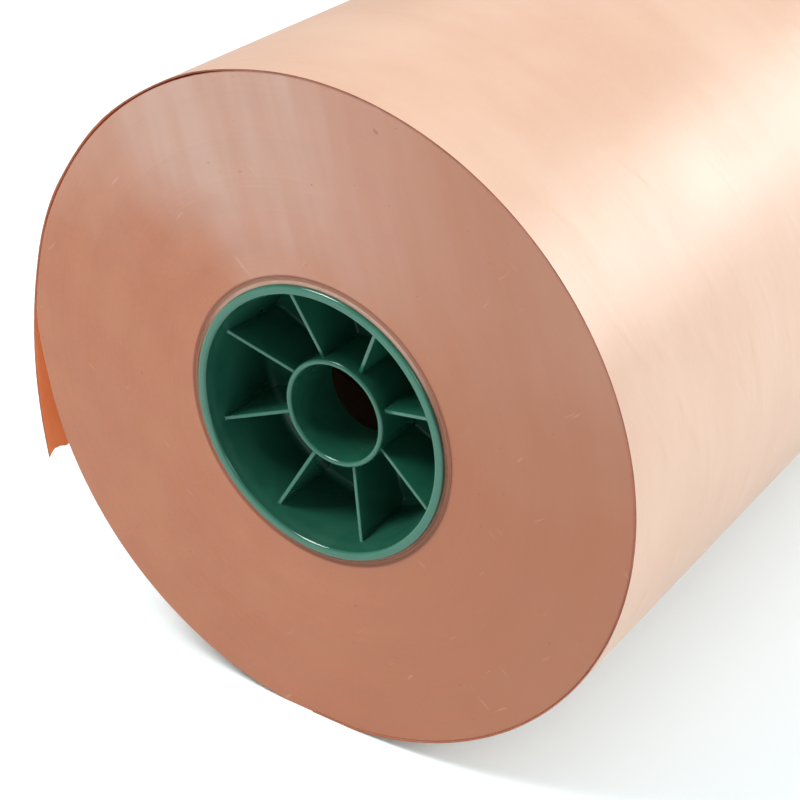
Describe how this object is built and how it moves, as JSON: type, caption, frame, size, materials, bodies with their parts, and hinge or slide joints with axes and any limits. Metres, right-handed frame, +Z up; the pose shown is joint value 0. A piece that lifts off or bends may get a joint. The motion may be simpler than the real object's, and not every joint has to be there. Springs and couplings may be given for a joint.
{
  "type": "wide sheet roll",
  "caption": "Wide roll of thin copper-peach sheet on a paperboard core with ribbed plastic end plugs; its outer turn hangs loose to a torn end.",
  "frame": {"origin": "on the surface the roll lies on, midway along the roll and in the middle of its box, below the roll's axis", "axes": "+Y along the roll's axis, from the near end to the far end; +Z up; the loose end hangs on the -X side"},
  "size_m": [0.1999, 0.6122, 0.1952],
  "materials": {
    "plug_plastic": "gloss",
    "core_board": "matte",
    "core_liner_paper": "matte",
    "adhesive_strip": "satin",
    "sheet_edges": "satin",
    "sheet_outside": "satin",
    "sheet_inside": "satin"
  },
  "bodies": {
    "roll": {"core_liner": "core_liner_paper", "core_body_ply_1": "core_board", "core_body_ply_2": "core_board", "core_body_ply_3": "core_board", "core_body_ply_4": "core_board", "core_cover": "core_board", "core_start_strip": "adhesive_strip", "wound_web": "sheet_edges", "outermost_turn": "sheet_outside"},
    "near_plug": {"near_core_plug": "plug_plastic"},
    "far_plug": {"far_core_plug": "plug_plastic"},
    "loose_sheet": {"loose_end": "sheet_inside"}
  },
  "joints": [
    {"name": "near_plug_pull", "type": "slide", "parent": "roll", "child": "near_plug", "axis": [0, -1, 0], "range_m": [0, 0.06]},
    {"name": "far_plug_pull", "type": "slide", "parent": "roll", "child": "far_plug", "axis": [0, 1, 0], "range_m": [0, 0.06]},
    {"name": "loose_end_lift", "type": "hinge", "parent": "roll", "child": "loose_sheet", "pos_m": [-0.0955, 0, 0.12375], "axis": [0, 1, 0], "range_deg": [0, 75]}
  ]
}
